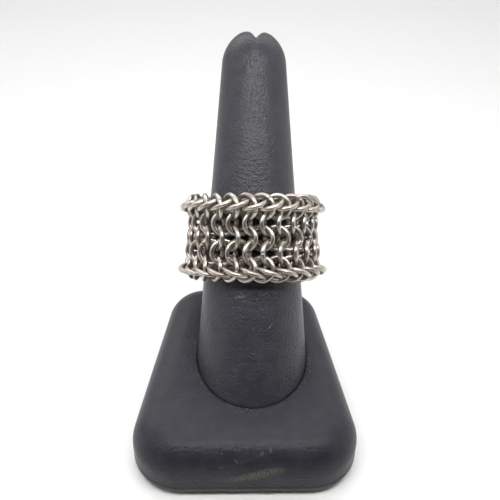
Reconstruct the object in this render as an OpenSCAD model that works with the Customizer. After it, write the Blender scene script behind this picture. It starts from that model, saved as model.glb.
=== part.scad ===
// A band of round wire links, woven four in one, on a ring display stand:
// a blunt finger with a nicked tip that leans back from a flat rounded base.
// Millimetres. Origin on the table, under the middle of the base; the front faces -Y.

/* [Band] */
// Thickness of the link wire, which sizes every link and the spacing of the weave
wire_d = 0.72; // [0.6:0.01:0.9]
// Distance of the band's middle row up the finger from its foot, along the finger
band_up = 23.5; // [20:0.1:40]

/* [Base] */
// Width of the base along its front
base_front_w = 43.2; // [36:0.1:60]
// Width of the base along its back
base_back_w = 33.8; // [32:0.1:50]
// Depth of the base, front to back
base_depth = 48.4; // [44:0.1:64]
// Thickness of the base
base_h = 11.2; // [8.5:0.1:18]
// Corner radius of the base in plan, at the front
front_corner_r = 9.6; // [7:0.1:14]
// Corner radius of the base in plan, at the back
back_corner_r = 8; // [7:0.1:12]
// Rounding of the base's upper edge
top_edge_r = 6.1; // [2:0.1:6.4]
// Rounding of the base's lower edge
bottom_edge_r = 1.9; // [0.5:0.1:2]

/* [Finger] */
// Lean of the finger, back from upright, in degrees
finger_lean = 36.6; // [20:0.1:42]
// Lean of the finger to the right, in degrees
finger_side_lean = 0.3; // [-1:0.1:1]
// Radius of the finger at its foot, across its axis
finger_foot_r = 11.15; // [9:0.01:12]
// Length of the finger along its axis, foot to tip
finger_len = 65.8; // [50:0.1:80]
// Radius that the finger loses with each millimetre of its length
finger_taper = 0.0785; // [0.05:0.0005:0.09]
// Rounding of the finger's tip
tip_r = 4.4; // [2:0.1:4.8]
// Rounding of the finger's shoulders, below the tip
shoulder_r = 7.8; // [6:0.1:12]
// Distance of the finger's foot behind the middle of the base
foot_back = 2.1; // [-2:0.1:4]
// Distance of the finger's foot to the right of the middle of the base
foot_right = 1.5; // [0:0.1:3]
// Depth of the nick in the tip, at the finger's axis
nick_depth = 1.9; // [0.6:0.1:3]
// Width of the nick, at the height of the tip
nick_w = 3.8; // [2:0.1:5]
// Distance of the nick to the right of the finger's axis
nick_right = 0.4; // [0:0.1:1]
// Fall of the nick towards the front, in degrees
nick_fall = 18; // [0:1:25]

/* [Hidden] */

// Smoothness of a corner column of the base, and of the finger and the links
corner_fn = 32;
round_fn = 96;

// A link: its radius to the middle of the wire is this many wire thicknesses.
// Slimmer than this the links would bind where four of them pass through one.
link_ratio = 3.125;
link_r = wire_d * link_ratio;

// The weave, in link radii: from row to row, and from link to link in the middle row
row_pitch = 1.262 * link_r;
link_step = 1.3 * link_r;

// The rows follow the finger's taper, a little less steeply
row_taper = 0.76 * finger_taper;

// Rows of the weave, top to bottom, of which the first and the last are the edges' rows.
// Columns: height above the middle row in row pitches, distance outside the band's cone in
// link radii, lean of the links about the finger's axis, tip of the row's links outward,
// and turn round the finger in link steps.
UP = 0;
OUT = 1;
LEAN = 2;
TIP = 3;
TURN = 4;
weave = [
    [2.24, 0.445, 18.5, 104.5, -0.025],
    [2.085, 0.28, 34, 12, 0.505],
    [1.01, 0.02, 33.5, 3, 0],
    [0, 0, 34.5, 0, 0.5],
    [-0.98, 0.085, 36, 0, 0],
    [-2.05, 0.09, 31.5, -4.5, 0.485],
    [-2.26, 0.225, 18, -86, -0.075]
];
last_row = len(weave) - 1;

// The bottom edge's links come closest to the finger. The number of links in a row
// is the least that clears it there, and the band then drops until its front rests.
edge_reach = link_r + wire_d / 2;
edge_up = weave[last_row][UP] * row_pitch;
edge_finger_r = finger_foot_r - finger_taper * (band_up + edge_up);
edge_clear = 0.04;
rest_gap = 0.12;
needed_r = edge_finger_r + edge_clear + edge_reach
    - weave[last_row][OUT] * link_r + row_taper * edge_up;
links_round = ceil(2 * PI * needed_r / link_step);
band_r = links_round * link_step / (2 * PI);
band_drop = max(0, band_r - needed_r + edge_clear - rest_gap);

// Radius and height of a row's link centres, in the finger's frame
function row_up(row) = row[UP] * row_pitch;
function row_r(row) = band_r - row_taper * row_up(row) + row[OUT] * link_r;

// The finger ends in two arcs: a wide one that leaves its taper, and the tip's own, which
// is centred on the axis and takes over from the wide one where both slope alike
slant = sqrt(1 + finger_taper * finger_taper);
taper_turn = atan(finger_taper);
tip_arc = min(tip_r, 0.9 * (finger_foot_r - finger_taper * finger_len));
tip_up = finger_len - tip_arc;
tip_up_r = finger_foot_r - finger_taper * tip_up;
shoulder_arc = max(shoulder_r, 1.1 * tip_up_r);
arcs_apart = shoulder_arc - tip_arc;
arcs_turn = taper_turn + acos((shoulder_arc * slant - tip_up_r) / (arcs_apart * slant));
shoulder_x = -arcs_apart * cos(arcs_turn);
shoulder_up = tip_up - arcs_apart * sin(arcs_turn);
// Each arc of the finger's outline is this many short cones
shoulder_steps = 12;
tip_steps = 3;
// The finger is drawn on below its foot, and cut level where it stands on the base
finger_below = finger_foot_r;

// Puts its children on the finger's axis, with +Z along the finger from its foot
module on_finger() {
    translate([foot_right, foot_back, base_h])
        rotate([-finger_lean, 0, 0])
            rotate([0, finger_side_lean, 0])
                children();
}

// One corner of the base: a round column with both of its edges rounded
module corner_column(r) {
    rotate_extrude($fn = corner_fn)
        intersection() {
            hull() {
                translate([r - top_edge_r, base_h - top_edge_r]) circle(top_edge_r);
                translate([r - bottom_edge_r, bottom_edge_r]) circle(bottom_edge_r);
                square([r - top_edge_r, base_h]);
                square([r - bottom_edge_r, base_h / 2]);
            }
            square([r, base_h]);
        }
}

module display_base() {
    color([0.16, 0.16, 0.17])
        hull()
            for (side = [-1, 1]) {
                translate([side * (base_front_w / 2 - front_corner_r),
                           front_corner_r - base_depth / 2, 0])
                    corner_column(front_corner_r);
                translate([side * (base_back_w / 2 - back_corner_r),
                           base_depth / 2 - back_corner_r, 0])
                    corner_column(back_corner_r);
            }
}

// Points along an arc round x and up, after its start
function arc_points(x, up, r, start, end, steps) = [
    for (k = [1 : steps])
        let (turn = start + (end - start) * k / steps)
            [x + r * cos(turn), up + r * sin(turn)]
];

// Outline of the finger, from its axis outward
module finger_outline() {
    taper_end_up = shoulder_up + shoulder_arc * sin(taper_turn);
    polygon(concat(
        [[0, -finger_below], [finger_foot_r + finger_taper * finger_below, -finger_below],
         [finger_foot_r - finger_taper * taper_end_up, taper_end_up]],
        arc_points(shoulder_x, shoulder_up, shoulder_arc, taper_turn, arcs_turn, shoulder_steps),
        arc_points(0, tip_up, tip_arc, arcs_turn, 90, tip_steps)
    ));
}

// Nick across the tip, from front to back, drawn on in line with its walls above the tip
module tip_nick() {
    above = 3;
    translate([nick_right, 0, finger_len - nick_depth])
        rotate([90 + nick_fall, 0, 0])
            linear_extrude(4 * finger_foot_r, center = true)
                scale(above)
                    polygon([[0, 0], [nick_w / 2, nick_depth], [-nick_w / 2, nick_depth]]);
}

module display_finger() {
    room = 4 * finger_foot_r;
    color([0.24, 0.24, 0.26])
        difference() {
            on_finger()
                difference() {
                    rotate_extrude($fn = round_fn)
                        finger_outline();
                    tip_nick();
                }
            translate([-room / 2 + foot_right, -room / 2, base_h - room])
                cube([room, room, room]);
        }
}

module link() {
    rotate_extrude($fn = round_fn)
        translate([link_r, 0])
            circle(d = wire_d, $fn = corner_fn);
}

// Row k of the weave, a ring of links round the finger. Hand 1 has each link's left side
// outward, -1 its right.
module link_row(k) {
    row = weave[k];
    hand = k % 2 == 0 ? 1 : -1;
    for (i = [0 : links_round - 1])
        rotate([0, 0, (i + row[TURN]) * 360 / links_round])
            translate([0, -row_r(row), row_up(row)])
                rotate([row[TIP], 0, 0])
                    rotate([0, 0, hand * row[LEAN]])
                        rotate([90, 0, 0])
                            link();
}

// The band hangs on the finger, its front at rest on the upper side
module on_band() {
    on_finger()
        translate([0, band_drop, band_up])
            children();
}

// Five rows whose links stand along the finger and lean by turns to either hand
module woven_rows() {
    color([0.78, 0.76, 0.73])
        on_band()
            for (k = [1 : last_row - 1])
                link_row(k);
}

// The top and bottom rows, whose links tip outward into two flat rims
module edge_rows() {
    color([0.8, 0.78, 0.75])
        on_band()
            for (k = [0, last_row])
                link_row(k);
}

display_base();
display_finger();
woven_rows();
edge_rows();
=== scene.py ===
"""A band of woven wire links on a finger stand, dressed in steel and leatherette.

The frame gives the base's size and place. Lengths are in millimetres, and MM turns
them into metres. The front of the stand faces -Y.
"""

import math
import random

import bpy
import numpy as np
from mathutils import Matrix, Vector


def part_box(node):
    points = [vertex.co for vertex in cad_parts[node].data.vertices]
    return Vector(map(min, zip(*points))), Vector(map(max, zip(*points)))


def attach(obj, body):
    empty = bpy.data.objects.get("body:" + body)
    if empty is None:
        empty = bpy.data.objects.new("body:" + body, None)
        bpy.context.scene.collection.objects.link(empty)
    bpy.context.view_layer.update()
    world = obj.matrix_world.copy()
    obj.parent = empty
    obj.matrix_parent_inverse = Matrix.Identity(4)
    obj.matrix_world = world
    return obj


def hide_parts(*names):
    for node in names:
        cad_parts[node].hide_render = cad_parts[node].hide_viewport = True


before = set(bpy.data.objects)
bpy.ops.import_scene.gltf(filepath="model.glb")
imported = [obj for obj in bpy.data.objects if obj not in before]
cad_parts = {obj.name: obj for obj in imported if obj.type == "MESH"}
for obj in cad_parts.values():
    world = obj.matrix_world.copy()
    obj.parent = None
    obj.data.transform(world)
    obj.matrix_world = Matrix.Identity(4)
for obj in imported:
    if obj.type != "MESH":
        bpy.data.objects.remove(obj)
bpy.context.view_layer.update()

MM = 0.001
BODY = "root"

# The base
base_low, base_high = (np.array(corner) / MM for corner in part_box("display_base"))
BASE_H = base_high[2]
BASE_FRONT_W = base_high[0] - base_low[0]
BASE_BACK_W = 33.8
BASE_DEPTH = base_high[1] - base_low[1]
FRONT_CORNER_R = 9.6
BACK_CORNER_R = 8.0
TOP_EDGE_R = 6.1
BOTTOM_EDGE_R = 1.9

# The seam round the foot of the base, where its cover ends, and its outline: heights from
# the middle of the seam, each with its share of how far the seam stands proud
SEAM_UP = 2.05
SEAM_PROUD = 0.07
SEAM_OUTLINE = [(-0.06, 0.6), (0, 1), (0.08, 0.7), (0.16, 0)]

# The finger. Its heights and those of the band are along it, from its foot.
FINGER_LEAN = math.radians(36.6)
FINGER_SIDE_LEAN = math.radians(0.3)
FINGER_FOOT = np.array([1.5, 2.1, BASE_H])
FINGER_FOOT_R = 11.15
FINGER_LEN = 65.8
FINGER_TAPER = 0.0785
TIP_R = 4.4
SHOULDER_R = 7.8
NICK_DEPTH = 1.73
NICK_RIGHT = 0.38
NICK_FALL = math.radians(17.5)
CREASE_UP = 13.5

# The band: its middle row's height, its links, the steps from row to row and from link to
# link, and how unevenly the links hang, in degrees
BAND_UP = 23.5
LINKS_ROUND = 25
LINK_R = 2.25
WIRE_D = 0.96
ROW_PITCH = 1.262 * LINK_R
ROW_TAPER = 0.76 * FINGER_TAPER
LINK_STEP = 1.3 * LINK_R
BAND_R = LINKS_ROUND * LINK_STEP / (2 * math.pi)
LINK_SWAY = 1.2
LINK_NOD = 1.0

# Rows, top to bottom: name, height in row pitches, distance outside the band's cone in
# link radii, lean about the finger's axis, tip outward, turn in link steps, hand
ROWS = [
    ("top_edge_links", 2.24, 0.445, 18.5, 104.5, -0.025, 1),
    ("first_row_links", 2.085, 0.28, 34, 12, 0.505, -1),
    ("second_row_links", 1.01, 0.02, 33.5, 3, 0, 1),
    ("third_row_links", 0, 0, 34.5, 0, 0.5, -1),
    ("fourth_row_links", -0.98, 0.085, 36, 0, 0, 1),
    ("fifth_row_links", -2.05, 0.09, 31.5, -4.5, 0.485, -1),
    ("bottom_edge_links", -2.26, 0.225, 18, -86, -0.075, 1),
]
EDGE_ROWS = ("top_edge_links", "bottom_edge_links")

# Each link draws its chances from seeds of its own: this many are kept for a row, and
# those for how it hangs start here
ROW_SEEDS = 100
HANG_SEEDS = 7000

# The camera, fitted to the photograph's outline of the stand. It faces a point this far up
# the finger from this far away, and is then moved right and up.
CAMERA_AIM_UP = 24.4
CAMERA_AWAY = 140.0
CAMERA_ELEVATION = math.radians(38.85)
CAMERA_AZIMUTH = math.radians(-1.65)
CAMERA_ROLL = math.radians(1.14)
CAMERA_RIGHT = -0.356
CAMERA_UP = -3.609
CAMERA_NEAR = 5
FOCAL_PX = 679.6
FRAME_PX = 500
SENSOR_MM = 36

# The looks of the leatherette: its colour, roughness and shine, the size and depth of its
# pebbles, how strongly it is wrinkled, and the colour of its worn marks
BASE_LOOK = {
    "colour": (0.0275, 0.026, 0.034), "roughness": 0.4, "shine": 0.22,
    "grain": (0.5, 0.065), "wrinkled": 0, "worn": (0.095, 0.089, 0.071),
}
FINGER_LOOK = {
    "colour": (0.034, 0.0335, 0.0425), "roughness": 0.35, "shine": 0.36,
    "grain": (0.4, 0.045), "wrinkled": 3.2, "worn": (0.17, 0.165, 0.16),
}
# Painted shade that darkens the front of the finger's pressed crease
CREASE_PAINTED_SHADE = (0.008, 0.008, 0.011)
SEAM_BACKING = (0.05, 0.041, 0.036)
# Painted highlight: a lighter band along the seam's ridge
SEAM_PAINTED_HIGHLIGHT = (0.075, 0.07, 0.07)

# Wrinkles: how steeply they fall, and their width and length
WRINKLES = (1.1, 0.3, 0.85)

# Lint, all over and caught at the finger's foot: its spacing, size and the share of places
# that have a speck
LINT = (2.2, 0.12, 0.1)
FOOT_LINT = (0.4, 0.1, 0.8)
LINT_COLOUR = (0.3, 0.29, 0.27)

# Worn marks: centre, half sizes, turn in degrees and strength. Those on the base are
# placed from the middle of its underside, those on the finger from its foot, Z along it.
BASE_MARKS = [
    ((1.6, -24.1, 6.1), (6.6, 2.0, 1.15), 14, 0.75),
    ((3.6, -23.9, 6.9), (3.6, 2.0, 0.75), 12, 1.0),
    ((0.2, -22.7, 9.0), (5.2, 2.0, 0.2), 14, 0.25),
    ((-4.4, -23.5, 7.9), (0.5, 1.0, 0.4), 0, 0.6),
    ((-1.7, -22.9, 8.9), (0.55, 1.0, 0.3), -30, 0.8),
    ((2.9, -22.0, 9.8), (0.6, 1.0, 0.3), 30, 0.8),
    ((4.5, -21.5, 10.2), (0.35, 1.0, 0.45), 20, 0.8),
]
FINGER_MARKS = [
    ((-2.75, -9.8, 12.1), (1.15, 1.5, 0.32), 4, 1.0),
    ((3.3, -10.1, 6.6), (0.85, 1.5, 0.17), 52, 0.9),
]

# The steel: its colour where it is tarnished and where it is bright
STEEL_TARNISHED = (0.36, 0.31, 0.264)
STEEL_BRIGHT = (0.595, 0.557, 0.513)

# Soft glows of the room: azimuth from the front, turning right, elevation, strength
GLOWS = [
    (-140, 30, 3.2),
    (140, 30, 2.2),
    (-90, 12, 1.0),
    (90, 12, 1.5),
]
GLOW_FOCUS = 12
ROOM_DIM = 0.015
ROOM_SHOWN = 0.95

# Lamps: name, place, the point that each faces, width and length, watts, and the angle
# that its light spreads over
HALF_TURN = math.pi
LAMPS = [
    ("strip", (8, -42, 172), (2, 30, 45), (200, 50), 0.267, HALF_TURN),
    ("rear_lamp", (0, 200, 360), (0, -20, 10), (300, 120), 0.29, HALF_TURN),
    ("backdrop", (0, 420, 520), (0, 330, 0), (600, 300), 0.8, HALF_TURN),
    ("left_panel", (-300, -60, 260), (0, 0, 30), (200, 200), 0.185, HALF_TURN),
    ("right_panel", (300, -60, 260), (0, 0, 30), (200, 200), 0.035, HALF_TURN),
    ("floor_wash", (-700, -100, 420), (-700, -100, 0), (760, 1500), 2.0, 0.8),
    ("floor_wash", (700, -100, 420), (700, -100, 0), (760, 1500), 2.0, 0.8),
]
PAPER = (0.93, 0.93, 0.925)


def finger_to_stand(points):
    """Points in the finger's own frame, with Z along it from its foot, in the stand's frame."""
    x, y, s = np.moveaxis(np.asarray(points, float), -1, 0)
    aside = x * math.cos(FINGER_SIDE_LEAN) + s * math.sin(FINGER_SIDE_LEAN)
    along = s * math.cos(FINGER_SIDE_LEAN) - x * math.sin(FINGER_SIDE_LEAN)
    across = y * math.cos(FINGER_LEAN) + along * math.sin(FINGER_LEAN)
    up = -y * math.sin(FINGER_LEAN) + along * math.cos(FINGER_LEAN)
    return np.stack([aside, across, up], -1) + FINGER_FOOT


def add_mesh(name, points, faces):
    """A smooth object of these points, in millimetres, and faces."""
    mesh = bpy.data.meshes.new(name)
    mesh.from_pydata((np.asarray(points) * MM).tolist(), [], faces)
    mesh.validate()
    mesh.polygons.foreach_set("use_smooth", [True] * len(mesh.polygons))
    mesh.update()
    piece = bpy.data.objects.new(name, mesh)
    bpy.context.scene.collection.objects.link(piece)
    return piece


def ring_faces(rings, around, first=0):
    """Quads between each ring of points and the next, turned outward for rings that rise."""
    faces = []
    for k in range(rings - 1):
        for i in range(around):
            j = (i + 1) % around
            low = first + k * around
            faces.append((low + i, low + j, low + around + j, low + around + i))
    return faces


def lathe(name, rings):
    """A closed skin through rings of points, capped by a fan at each end."""
    count, around = rings.shape[:2]
    bottom = rings[0].mean(0)
    top = rings[-1].mean(0)
    points = np.concatenate([rings.reshape(-1, 3), [bottom, top]])
    faces = ring_faces(count, around)
    last = (count - 1) * around
    for i in range(around):
        j = (i + 1) % around
        faces.append((count * around, j, i))
        faces.append((count * around + 1, last + i, last + j))
    return add_mesh(name, points, faces)


def full_turn(steps):
    """Angles once round, the end left out."""
    return np.linspace(0, 2 * math.pi, steps, endpoint=False)


def smooth_step(low, high, value):
    """0 below low, 1 above high, and a smooth rise between."""
    t = np.clip((value - low) / (high - low), 0, 1)
    return t * t * (3 - 2 * t)


def at_front(turn):
    """1 round the front of the finger's foot, fading to 0 round its back."""
    fade_out, fade_in = -0.3, 0.5
    return smooth_step(fade_out, fade_in, np.cos(turn))


# The finger


def finger_radius(s):
    return FINGER_FOOT_R - FINGER_TAPER * s


def foot_height(turn, sunk=0):
    """Height along the finger where it meets the base's top, or a level sunk below that."""
    front = np.cos(turn)
    lean_sin, lean_cos = math.sin(FINGER_LEAN), math.cos(FINGER_LEAN)
    fall = sunk + FINGER_FOOT_R * front * lean_sin
    return -fall / (lean_cos - FINGER_TAPER * front * lean_sin)


def tip_outline():
    """Radii and heights along the finger's shoulder, a wide arc that leaves the taper,
    and along the tip's own arc."""
    wide_steps, narrow_steps = 60, 10
    slant = math.hypot(1, FINGER_TAPER)
    tip_up = FINGER_LEN - TIP_R
    apart = SHOULDER_R - TIP_R
    start = math.atan(FINGER_TAPER)
    meet = start + math.acos((SHOULDER_R * slant - finger_radius(tip_up)) / (apart * slant))
    wide = np.linspace(start, meet, wide_steps)
    narrow = np.linspace(meet, math.pi / 2, narrow_steps)[1:-1]
    radius = np.concatenate([SHOULDER_R * np.cos(wide) - apart * math.cos(meet),
                             TIP_R * np.cos(narrow)])
    height = np.concatenate([SHOULDER_R * np.sin(wide) - apart * math.sin(meet),
                             TIP_R * np.sin(narrow)])
    return radius, tip_up + height


def finger_skin():
    """The finger's leatherette: a taper that is tucked in at the base, a round tip and a
    nick across it. The taper's rings crowd towards its foot."""
    around, taper_rings, crowding = 288, 130, 1.15
    sunk = 0.35
    tuck, tuck_up, tuck_power = 0.3, 0.7, 2.5
    turn = full_turn(around)
    right, front = np.sin(turn), np.cos(turn)
    foot = foot_height(turn, sunk)
    tip_radius, tip_height = tip_outline()
    rings = []
    for share in np.linspace(0, 1, taper_rings + 1)[:-1] ** crowding:
        s = foot + (tip_height[0] - foot) * share
        low = 1 - np.clip((s - foot) / tuck_up, 0, 1)
        radius = finger_radius(s) - tuck * at_front(turn) * low ** tuck_power
        radius = radius - crease_depth(s, turn)
        rings.append(np.stack([radius * right, -radius * front, s], -1))
    for radius, height in zip(tip_radius, tip_height):
        rings.append(np.stack([radius * right, -radius * front, np.full(around, height)], -1))
    rings = np.array(rings)
    rings[..., 2] = nicked(*np.moveaxis(rings, -1, 0))
    return lathe("finger_leatherette", finger_to_stand(rings))


def nicked(x, y, s):
    """Heights s kept under the nick's walls: it falls to the front, and the walls are steep
    at its sharp bottom and ease out into the tip."""
    wall_high, wall_w, wall_power = 1.76, 1.07, 1.27
    bottom_w, soft = 0.03, 0.45
    aside = np.hypot(x - NICK_RIGHT, bottom_w) / wall_w
    bottom = FINGER_LEN - NICK_DEPTH + y * math.tan(NICK_FALL)
    walls = bottom + wall_high * (1 - np.exp(-aside ** wall_power))
    return s - soft * np.logaddexp(0, (s - walls) / soft)


def crease_depth(s, turn):
    """Depth of the pressed crease across the front, below the band: it deepens slowly from
    above and ends in a step. Its ends fade out over angles in degrees from the front, and
    it bows."""
    deep, reach_above, reach_below = 0.16, 0.8, 0.2
    left_out, left_in, right_in, right_out = -34, -22, 28, 40
    bow, bow_rate = 0.25, 2.2
    angle = np.degrees((turn + math.pi) % (2 * math.pi) - math.pi)
    left = smooth_step(left_out, left_in, angle)
    right = 1 - smooth_step(right_in, right_out, angle)
    above = s - CREASE_UP - bow * np.cos(np.radians(angle * bow_rate))
    reach = np.where(above > 0, reach_above, reach_below)
    return deep * left * right * np.exp(-(above / reach) ** 2)


# The base


def base_reach(turn, inset):
    """Distance from the finger's foot to the base's outline, moved inward by inset. The
    outline is the tightest fit of many straight edges that touch its four corners."""
    edges, least_facing = 2880, 0.05
    corners = []
    for side in (-1, 1):
        corners.append((side * (BASE_FRONT_W / 2 - FRONT_CORNER_R),
                        FRONT_CORNER_R - BASE_DEPTH / 2, FRONT_CORNER_R - inset))
        corners.append((side * (BASE_BACK_W / 2 - BACK_CORNER_R),
                        BASE_DEPTH / 2 - BACK_CORNER_R, BACK_CORNER_R - inset))
    normal = full_turn(edges)
    nx, ny = np.sin(normal), -np.cos(normal)
    away = np.max([x * nx + y * ny + r for x, y, r in corners], axis=0)
    away = away - FINGER_FOOT[0] * nx - FINGER_FOOT[1] * ny
    facing = np.outer(np.sin(turn), nx) + np.outer(-np.cos(turn), ny)
    reach = away / np.maximum(facing, least_facing)
    return np.where(facing > least_facing, reach, np.inf).min(1)


def foot_reach(turn):
    """Distance from the finger's foot to the finger's outline on the base's top."""
    steps = 720
    around = full_turn(steps)
    s = foot_height(around)
    radius = finger_radius(s)
    outline = np.stack([radius * np.sin(around), -radius * np.cos(around), s], -1)
    x, y, _ = np.moveaxis(finger_to_stand(outline) - FINGER_FOOT, -1, 0)
    angle = np.arctan2(x, -y) % (2 * math.pi)
    order = np.argsort(angle)
    return np.interp(turn, angle[order], np.hypot(x, y)[order], period=2 * math.pi)


def base_skin():
    """The base's leatherette: rounded edges, and a crease where the finger stands in it.
    The top's rings crowd towards that crease."""
    around, bottom_rings, edge_rings, top_rings, crowding = 320, 9, 25, 33, 0.5
    under_shares = (0.15, 0.4, 0.65, 0.85)
    side_shares = (0.25, 0.5, 0.75)
    seam_drop = 0.1
    dip, dip_w, dip_power, back_share = 0.36, 0.15, 1.3, 0.25
    foot_gap, foot_in, foot_down = 0.05, 0.3, 0.1
    turn = full_turn(around)
    rings = []

    def add_ring(reach, height):
        x = FINGER_FOOT[0] + reach * np.sin(turn)
        y = FINGER_FOOT[1] - reach * np.cos(turn)
        rings.append(np.stack([x, y, np.broadcast_to(height, turn.shape)], -1))

    for share in under_shares:
        add_ring(base_reach(turn, BOTTOM_EDGE_R) * share, 0)
    for bend in np.linspace(0, math.pi / 2, bottom_rings):
        inset = BOTTOM_EDGE_R * (1 - math.sin(bend))
        add_ring(base_reach(turn, inset), BOTTOM_EDGE_R * (1 - math.cos(bend)) - seam_drop * bend)
    for over, proud in SEAM_OUTLINE:
        add_ring(base_reach(turn, 0) + SEAM_PROUD * proud, SEAM_UP + over)
    side_low = SEAM_UP + SEAM_OUTLINE[-1][0]
    side_high = BASE_H - TOP_EDGE_R
    for share in side_shares:
        add_ring(base_reach(turn, 0), side_low + (side_high - side_low) * share)
    for bend in np.linspace(0, math.pi / 2, edge_rings):
        inset = TOP_EDGE_R * (1 - math.cos(bend))
        add_ring(base_reach(turn, inset), side_high + TOP_EDGE_R * math.sin(bend))

    edge = base_reach(turn, TOP_EDGE_R)
    foot = foot_reach(turn)
    deep = dip * (back_share + (1 - back_share) * at_front(turn))
    for share in np.linspace(0, 1, top_rings + 1)[1:] ** crowding:
        reach = edge + (foot + foot_gap - edge) * share
        gap = np.maximum(reach - foot, 0)
        add_ring(reach, BASE_H - deep * np.exp(-(gap / dip_w) ** dip_power))
    add_ring(foot - foot_in, BASE_H - dip - foot_down)
    add_ring(foot / 2, BASE_H - dip - foot_down)
    return lathe("base_leatherette", np.array(rings))


# The links


def link_rings(seed):
    """Rings of points along one link's wire, cut and butted at a place of its own. The
    ends are bevelled, and each stands a little aside of the other."""
    along, around = 56, 14
    gap, step, bevel, step_power = 0.045, 0.03, 0.05, 5
    chance = random.Random(seed)
    cut = chance.uniform(0, 2 * math.pi)
    aside = chance.uniform(-step, step)
    half_gap = gap / 2 / LINK_R
    share = np.linspace(0, 1, along)
    bend = cut + half_gap + (2 * math.pi - 2 * half_gap) * share
    bend = np.concatenate([[bend[0]], [bend[0] + bevel / LINK_R], bend[1:-1],
                           [bend[-1] - bevel / LINK_R], [bend[-1]]])
    radius = np.full(len(bend), WIRE_D / 2)
    radius[[0, -1]] -= bevel
    drift = aside * np.linspace(-1, 1, len(bend)) ** step_power
    turn = full_turn(around)
    out = LINK_R + np.outer(radius, np.cos(turn))
    level = np.outer(radius, np.sin(turn)) + drift[:, None]
    return np.stack([out * np.cos(bend)[:, None], level, out * np.sin(bend)[:, None]], -1)


def turn_about(axis, degrees):
    return np.array(Matrix.Rotation(math.radians(degrees), 3, axis))


def link_row(name, up, out, lean, tip, turn, hand, index):
    """One row of links round the finger, as a single piece."""
    height = up * ROW_PITCH
    reach = BAND_R - ROW_TAPER * height + out * LINK_R
    points, faces = [], []
    for i in range(LINKS_ROUND):
        seed = index * ROW_SEEDS + i
        chance = random.Random(seed + HANG_SEEDS)
        sway = chance.gauss(0, LINK_SWAY)
        nod = chance.gauss(0, LINK_NOD)
        ring = link_rings(seed)
        count, around = ring.shape[:2]
        placed = ring.reshape(-1, 3) @ turn_about("Z", hand * lean + sway).T
        placed = placed @ turn_about("X", tip + nod).T + [0, -reach, height]
        placed = placed @ turn_about("Z", (i + turn) * 360 / LINKS_ROUND).T + [0, 0, BAND_UP]
        first = i * count * around
        last = first + (count - 1) * around
        points.append(placed)
        faces += ring_faces(count, around, first)
        faces.append(tuple(range(first + around - 1, first - 1, -1)))
        faces.append(tuple(range(last, last + around)))
    return add_mesh(name, finger_to_stand(np.concatenate(points)), faces)


# Nodes


def add_node(tree, kind, links=(), **values):
    """A node with these settings; links are pairs of an input and the socket it takes."""
    new = tree.nodes.new(kind)
    for name, value in values.items():
        if hasattr(new, name):
            setattr(new, name, value)
        else:
            new.inputs[name.replace("_", " ")].default_value = value
    for name, socket in links:
        tree.links.new(socket, new.inputs[name])
    return new


def add_math(tree, operation, *values):
    """A Math node on these numbers or sockets, and its output."""
    new = tree.nodes.new("ShaderNodeMath")
    new.operation = operation
    for slot, value in zip(new.inputs, values):
        if isinstance(value, bpy.types.NodeSocket):
            tree.links.new(value, slot)
        else:
            slot.default_value = value
    return new.outputs[0]


def add_vector(tree, operation, first, second):
    """A Vector Math node on a socket and a second socket or value, and its output."""
    new = tree.nodes.new("ShaderNodeVectorMath")
    new.operation = operation
    tree.links.new(first, new.inputs[0])
    if operation == "SCALE":
        new.inputs["Scale"].default_value = second
    elif isinstance(second, bpy.types.NodeSocket):
        tree.links.new(second, new.inputs[1])
    else:
        new.inputs[1].default_value = second
    return new.outputs[0]


def vector_length(tree, vector):
    new = add_node(tree, "ShaderNodeVectorMath", [("Vector", vector)], operation="LENGTH")
    return new.outputs["Value"]


def parts_of(tree, vector):
    """The X, Y and Z of a vector."""
    return add_node(tree, "ShaderNodeSeparateXYZ", [("Vector", vector)]).outputs


def new_material(name):
    material = bpy.data.materials.new(name)
    material.use_nodes = True
    tree = material.node_tree
    shader = next(n for n in tree.nodes if n.type == "BSDF_PRINCIPLED")
    return material, tree, shader


def noise(tree, place, scale, detail=2.0, rough=0.5):
    new = add_node(tree, "ShaderNodeTexNoise", [("Vector", place)], Scale=scale, Detail=detail,
                   Roughness=rough)
    return new.outputs["Fac"]


def random_shift(tree, place, scale, most):
    """A soft random shift of up to most along each axis, which varies over the place."""
    warp = add_node(tree, "ShaderNodeTexNoise", [("Vector", place)], Scale=scale, Detail=1)
    return add_vector(tree, "SCALE", warp.outputs["Color"], most)


def ramped(tree, value, low, high):
    """Value taken smoothly from 0 at low to 1 at high."""
    new = add_node(tree, "ShaderNodeMapRange", [("Value", value)], interpolation_type="SMOOTHSTEP",
                   From_Min=low, From_Max=high)
    return new.outputs["Result"]


def ranged(tree, value, low, high):
    """Value between 0 and 1 taken evenly to between low and high."""
    new = add_node(tree, "ShaderNodeMapRange", [("Value", value)], To_Min=low, To_Max=high)
    return new.outputs["Result"]


def banded(tree, height, low, high, soft):
    """1 where the height is between low and high, falling off softly outside."""
    return add_math(tree, "MULTIPLY", ramped(tree, height, low - soft, low),
                    ramped(tree, height, high + soft, high))


def mixed_colour(tree, share, first, second):
    """First where share is 0, second where it is 1; each is a socket or a colour."""
    new = add_node(tree, "ShaderNodeMix", [("Factor", share)], data_type="RGBA")
    for slot, colour in ((new.inputs[6], first), (new.inputs[7], second)):
        if isinstance(colour, bpy.types.NodeSocket):
            tree.links.new(colour, slot)
        else:
            slot.default_value = (*colour, 1)
    return new.outputs[2]


# The leatherette


def stand_place(tree):
    """The stand's own coordinates in millimetres."""
    place = add_node(tree, "ShaderNodeTexCoord").outputs["Object"]
    return add_vector(tree, "SCALE", place, 1 / MM)


def finger_place(tree):
    """The finger's own coordinates in millimetres, Z along it from its foot."""
    from_foot = add_vector(tree, "SUBTRACT", stand_place(tree), tuple(FINGER_FOOT))
    turned = add_node(tree, "ShaderNodeVectorRotate", [("Vector", from_foot)],
                      rotation_type="EULER_XYZ", Rotation=(FINGER_LEAN, -FINGER_SIDE_LEAN, 0))
    return turned.outputs["Vector"]


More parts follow.
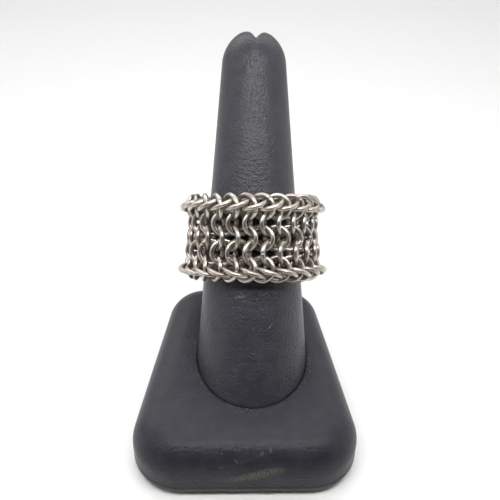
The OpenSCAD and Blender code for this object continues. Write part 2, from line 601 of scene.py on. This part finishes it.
def pebbles(tree, place, size):
    """Height of fine pebbled grain, about 0 to 1."""
    warp_scale, warp_most, smoothness = 1.2, 0.5, 0.5
    bent = add_vector(tree, "ADD", place, random_shift(tree, place, warp_scale, warp_most))
    cells = add_node(tree, "ShaderNodeTexVoronoi", [("Vector", bent)], feature="SMOOTH_F1",
                     Scale=1 / size, Smoothness=smoothness)
    return add_math(tree, "SUBTRACT", 1, cells.outputs["Distance"])


def wrinkles(tree, place, steep, across, along):
    """Height of short wrinkles that fall from both sides towards the front's middle."""
    warp_scale, warp_most, detail = 0.5, 1.2, 1.5
    x, y, s = parts_of(tree, place)
    aside = add_math(tree, "ABSOLUTE", x)
    length = math.hypot(1, steep)
    over = add_math(tree, "DIVIDE", add_math(tree, "MULTIPLY_ADD", aside, -steep, s),
                    length * across)
    down = add_math(tree, "DIVIDE", add_math(tree, "MULTIPLY_ADD", s, steep, aside),
                    length * along)
    deep = add_math(tree, "DIVIDE", y, across)
    bent = add_node(tree, "ShaderNodeCombineXYZ", [("X", over), ("Y", down), ("Z", deep)])
    shift = random_shift(tree, place, warp_scale, warp_most)
    return noise(tree, add_vector(tree, "ADD", bent.outputs["Vector"], shift), 1.0, detail)


def specks(tree, place, spacing, size, share):
    """Scattered dots: 1 on a dot of about this size; share is the part of cells with one."""
    core = 0.4
    cells = add_node(tree, "ShaderNodeTexVoronoi", [("Vector", place)], feature="F1",
                     Scale=1 / spacing)
    dot = ramped(tree, cells.outputs["Distance"], size / spacing, size / spacing * core)
    chance = add_node(tree, "ShaderNodeSeparateColor", [("Color", cells.outputs["Color"])])
    picked = add_math(tree, "LESS_THAN", chance.outputs["Red"], share)
    return add_math(tree, "MULTIPLY", dot, picked)


def scuffed(tree, place, centre, halves, turn, strength):
    """A worn patch: an oval of these half sizes, turned about Y, whose rim is soft and
    which is broken up into upright strokes."""
    rim_out, rim_in = 1.15, 0.45
    stroke_scale, detail, rough = (2.8, 2.8, 0.9), 4, 0.75
    broken_low, broken_high = 0.38, 0.6
    away = add_vector(tree, "SUBTRACT", place, centre)
    turned = add_node(tree, "ShaderNodeVectorRotate", [("Vector", away)], rotation_type="Y_AXIS",
                      Angle=math.radians(turn))
    scaled = add_vector(tree, "DIVIDE", turned.outputs["Vector"], halves)
    inside = ramped(tree, vector_length(tree, scaled), rim_out, rim_in)
    strokes = noise(tree, add_vector(tree, "MULTIPLY", place, stroke_scale), 1.0, detail, rough)
    broken = ramped(tree, strokes, broken_low, broken_high)
    return add_math(tree, "MULTIPLY", add_math(tree, "MULTIPLY", inside, broken), strength)


def base_trim(tree, place, paint):
    """The base's seam, with a painted highlight along its ridge and the brownish backing under it,
    and the lint caught at the finger's foot. Heights are from the seam's."""
    backing_low, backing_high = -0.3, -0.1
    highlight_low, highlight_high, highlight_soft, highlight_share = -0.02, 0.1, 0.08, 0.7
    height = parts_of(tree, place)["Z"]
    backing = ramped(tree, height, SEAM_UP + backing_high, SEAM_UP + backing_low)
    paint = mixed_colour(tree, backing, paint, SEAM_BACKING)
    # Painted highlight: a lighter band along the seam's ridge
    edge = banded(tree, height, SEAM_UP + highlight_low, SEAM_UP + highlight_high, highlight_soft)
    edge = add_math(tree, "MULTIPLY", edge, highlight_share)
    paint = mixed_colour(tree, edge, paint, SEAM_PAINTED_HIGHLIGHT)
    return mixed_colour(tree, foot_lint(tree, place), paint, LINT_COLOUR)


def foot_lint(tree, place):
    """Lint caught in clumps along the crease at the finger's foot: 1 on a speck. Far and
    close are shares of the foot's oval outline."""
    far, close = 1.17, 1.02
    clump_scale, clump_low, clump_high = 0.3, 0.34, 0.52
    front, back = foot_reach(np.array([0, math.pi]))
    centre = (FINGER_FOOT[0], FINGER_FOOT[1] - (front - back) / 2, BASE_H)
    halves = (FINGER_FOOT_R, (front + back) / 2, FINGER_FOOT_R)
    away = add_vector(tree, "DIVIDE", add_vector(tree, "SUBTRACT", place, centre), halves)
    near = ramped(tree, vector_length(tree, away), far, close)
    clump = ramped(tree, noise(tree, place, clump_scale), clump_low, clump_high)
    caught = specks(tree, place, *FOOT_LINT)
    return add_math(tree, "MULTIPLY", caught, add_math(tree, "MULTIPLY", near, clump))


def finger_crease_shade(tree, place, paint):
    """Painted shade in the finger's pressed crease: its front is darkened in a band that bows down
    away from the middle. Heights are from the crease's."""
    left, right, end_soft = -4.8, 5.6, 1.2
    low, high, soft = 0.05, 0.5, 0.3
    bow, share = 0.007, 0.45
    x, y, s = parts_of(tree, place)
    bowed = add_math(tree, "MULTIPLY_ADD", add_math(tree, "MULTIPLY", x, x), bow, s)
    across = banded(tree, x, left, right, end_soft)
    front = add_math(tree, "LESS_THAN", y, 0)
    # Painted shade: the band across the front of the crease is darkened
    crease_shade = banded(tree, bowed, CREASE_UP + low, CREASE_UP + high, soft)
    crease_shade = add_math(tree, "MULTIPLY", crease_shade, across)
    crease_shade = add_math(tree, "MULTIPLY", add_math(tree, "MULTIPLY", crease_shade, front), share)
    return mixed_colour(tree, crease_shade, paint, CREASE_PAINTED_SHADE)


def leatherette(name, place_of, marks, trim, colour, roughness, shine, grain, wrinkled, worn):
    """Fine pebbled black leatherette with a slight shine, lint and worn places."""
    fine_share, fine_detail = 0.6, 3
    uneven_scale, uneven_detail, uneven_low, uneven_high = 0.35, 3, 0.3, 0.7
    grit, colour_swing, roughness_swing = 0.6, 0.15, 0.05
    material, tree, shader = new_material(name)
    place = place_of(tree)
    size, depth = grain
    height = pebbles(tree, place, size)
    if wrinkled:
        folds = wrinkles(tree, place, *WRINKLES)
        height = add_math(tree, "MULTIPLY_ADD", folds, wrinkled, height)
    fine = noise(tree, place, 1 / size, fine_detail, grit)
    height = add_math(tree, "MULTIPLY_ADD", fine, fine_share, height)
    bump = add_node(tree, "ShaderNodeBump", [("Height", height)], Strength=1.0,
                    Distance=depth * MM)
    tree.links.new(bump.outputs["Normal"], shader.inputs["Normal"])

    uneven = noise(tree, place, uneven_scale, uneven_detail, grit)
    darker = tuple((1 - colour_swing) * c for c in colour)
    lighter = tuple((1 + colour_swing) * c for c in colour)
    paint = mixed_colour(tree, ramped(tree, uneven, uneven_low, uneven_high), darker, lighter)
    # trim paints the seam's backing, a painted highlight on the seam's ridge and lint at the foot
    # on the base, and painted shade in the pressed crease on the finger
    paint = trim(tree, place, paint)
    for centre, halves, turn, strength in marks:
        share = scuffed(tree, place, centre, halves, turn, strength)
        paint = mixed_colour(tree, share, paint, worn)
    paint = mixed_colour(tree, specks(tree, place, *LINT), paint, LINT_COLOUR)
    tree.links.new(paint, shader.inputs["Base Color"])

    dull = ranged(tree, uneven, roughness - roughness_swing, roughness + roughness_swing)
    tree.links.new(dull, shader.inputs["Roughness"])
    shader.inputs["Specular IOR Level"].default_value = shine
    return material


# The steel


def steel(name):
    """Bright drawn wire with faint draw marks and warm tarnish."""
    mark_scale, mark_detail, mark_strength, mark_depth = 2.2, 4, 0.12, 0.02
    stain_scale, stain_detail, stain_low, stain_high = 0.42, 3, 0.35, 0.62
    smoothest, roughest = 0.22, 0.4
    material, tree, shader = new_material(name)
    place = add_node(tree, "ShaderNodeTexCoord").outputs["Object"]
    marks = noise(tree, place, mark_scale / MM, mark_detail)
    rough = ranged(tree, marks, smoothest, roughest)
    tree.links.new(rough, shader.inputs["Roughness"])
    stain = noise(tree, place, stain_scale / MM, stain_detail)
    ramp = add_node(tree, "ShaderNodeValToRGB", [("Fac", stain)])
    dark, bright = ramp.color_ramp.elements
    dark.position = stain_low
    dark.color = (*STEEL_TARNISHED, 1)
    bright.position = stain_high
    bright.color = (*STEEL_BRIGHT, 1)
    tree.links.new(ramp.outputs["Color"], shader.inputs["Base Color"])
    shader.inputs["Metallic"].default_value = 1.0
    bump = add_node(tree, "ShaderNodeBump", [("Height", marks)], Strength=mark_strength,
                    Distance=mark_depth * MM)
    tree.links.new(bump.outputs["Normal"], shader.inputs["Normal"])
    return material


# The object


def dress(piece, material, slot, *nodes):
    """Gives a piece its material, parents it to the body it rides on, and hides the parts of
    model.glb that it replaces.
    """
    piece.data.materials.append(material)
    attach(piece, BODY)
    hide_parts(*nodes)


def build_object():
    base_cover = leatherette("base_leatherette", stand_place, BASE_MARKS, base_trim, **BASE_LOOK)
    finger_cover = leatherette("finger_leatherette", finger_place, FINGER_MARKS, finger_crease_shade,
                               **FINGER_LOOK)
    dress(base_skin(), base_cover, "base_leatherette", "display_base")
    dress(finger_skin(), finger_cover, "finger_leatherette", "display_finger")
    wire = steel("link_wire")
    for index, (name, *placing) in enumerate(ROWS):
        node = "edge_rows" if name in EDGE_ROWS else "woven_rows"
        dress(link_row(name, *placing, index), wire, "link_wire", node)


# The studio


def add_camera():
    """The camera at the photograph's place."""
    axis = np.array([0, math.sin(FINGER_LEAN), math.cos(FINGER_LEAN)])
    level = math.cos(CAMERA_ELEVATION)
    back = np.array([math.sin(CAMERA_AZIMUTH) * level, -math.cos(CAMERA_AZIMUTH) * level,
                     math.sin(CAMERA_ELEVATION)])
    right = np.cross(-back, [0, 0, 1])
    right /= np.linalg.norm(right)
    up = np.cross(right, -back)
    eye = FINGER_FOOT + axis * CAMERA_AIM_UP + back * CAMERA_AWAY
    eye = eye + right * CAMERA_RIGHT + up * CAMERA_UP
    turned_right = math.cos(CAMERA_ROLL) * right + math.sin(CAMERA_ROLL) * up
    turned_up = -math.sin(CAMERA_ROLL) * right + math.cos(CAMERA_ROLL) * up
    data = bpy.data.cameras.new("camera")
    data.sensor_width = SENSOR_MM
    data.lens = FOCAL_PX / FRAME_PX * SENSOR_MM
    data.clip_start = CAMERA_NEAR * MM
    camera = bpy.data.objects.new("camera", data)
    matrix = Matrix.Identity(4)
    for column, vector in enumerate((turned_right, turned_up, back)):
        for row in range(3):
            matrix[row][column] = vector[row]
    matrix.translation = Vector(eye * MM)
    camera.matrix_world = matrix
    bpy.context.scene.collection.objects.link(camera)
    bpy.context.scene.camera = camera


def add_lamp(name, place, aim, size, power, spread):
    """A soft light at place that faces aim, both in millimetres."""
    data = bpy.data.lights.new(name, "AREA")
    data.shape = "RECTANGLE"
    data.size, data.size_y = size[0] * MM, size[1] * MM
    data.energy = power
    data.spread = spread
    lamp = bpy.data.objects.new(name, data)
    lamp.location = Vector(place) * MM
    lamp.rotation_euler = (Vector(aim) - Vector(place)).to_track_quat("-Z", "Y").to_euler()
    bpy.context.scene.collection.objects.link(lamp)


def add_floor():
    """A pale sheet of paper that curves up far behind the object."""
    half_w, front, back, bend, bend_steps, top = 1200, -900, 500, 150, 16, 260
    roughness, shine = 0.7, 0.2
    profile = [(front, 0), (back, 0)]
    for angle in np.linspace(0, math.pi / 2, bend_steps + 1)[1:]:
        profile.append((back + bend * math.sin(angle), bend * (1 - math.cos(angle))))
    profile.append((back + bend, top))
    points, faces = [], []
    for y, z in profile:
        points += [(-half_w, y, z), (half_w, y, z)]
    for k in range(len(profile) - 1):
        faces.append((2 * k, 2 * k + 1, 2 * k + 3, 2 * k + 2))
    floor = add_mesh("floor", points, faces)
    material, _, shader = new_material("pale_paper")
    shader.inputs["Base Color"].default_value = (*PAPER, 1)
    shader.inputs["Roughness"].default_value = roughness
    shader.inputs["Specular IOR Level"].default_value = shine
    floor.data.materials.append(material)


def add_world():
    """Bright glows behind the stand and beside it, seen by its surfaces, in a dim room. The
    room itself shows pale to the camera."""
    world = bpy.data.worlds.new("studio")
    world.use_nodes = True
    tree = world.node_tree
    back = next(n for n in tree.nodes if n.type == "BACKGROUND")
    place = add_node(tree, "ShaderNodeTexCoord").outputs["Generated"]
    total = ROOM_DIM
    for azimuth, elevation, strength in GLOWS:
        around, up = math.radians(azimuth), math.radians(elevation)
        facing = add_node(tree, "ShaderNodeVectorMath", operation="DOT_PRODUCT")
        tree.links.new(place, facing.inputs[0])
        facing.inputs[1].default_value = (math.sin(around) * math.cos(up),
                                          -math.cos(around) * math.cos(up), math.sin(up))
        ahead = add_math(tree, "MAXIMUM", facing.outputs["Value"], 0)
        glow = add_math(tree, "POWER", ahead, GLOW_FOCUS)
        total = add_math(tree, "MULTIPLY_ADD", glow, strength, total)
    seen = add_node(tree, "ShaderNodeLightPath").outputs["Is Camera Ray"]
    shown = add_node(tree, "ShaderNodeMix", data_type="FLOAT")
    tree.links.new(seen, shown.inputs["Factor"])
    tree.links.new(total, shown.inputs[2])
    shown.inputs[3].default_value = ROOM_SHOWN
    tree.links.new(shown.outputs[0], back.inputs["Color"])
    bpy.context.scene.world = world


def add_studio():
    add_floor()
    add_world()
    for lamp in LAMPS:
        add_lamp(*lamp)
    scene = bpy.context.scene
    scene.view_settings.view_transform = "Standard"
    scene.view_settings.look = "None"
    scene.view_settings.exposure = 0


add_camera()
build_object()
add_studio()
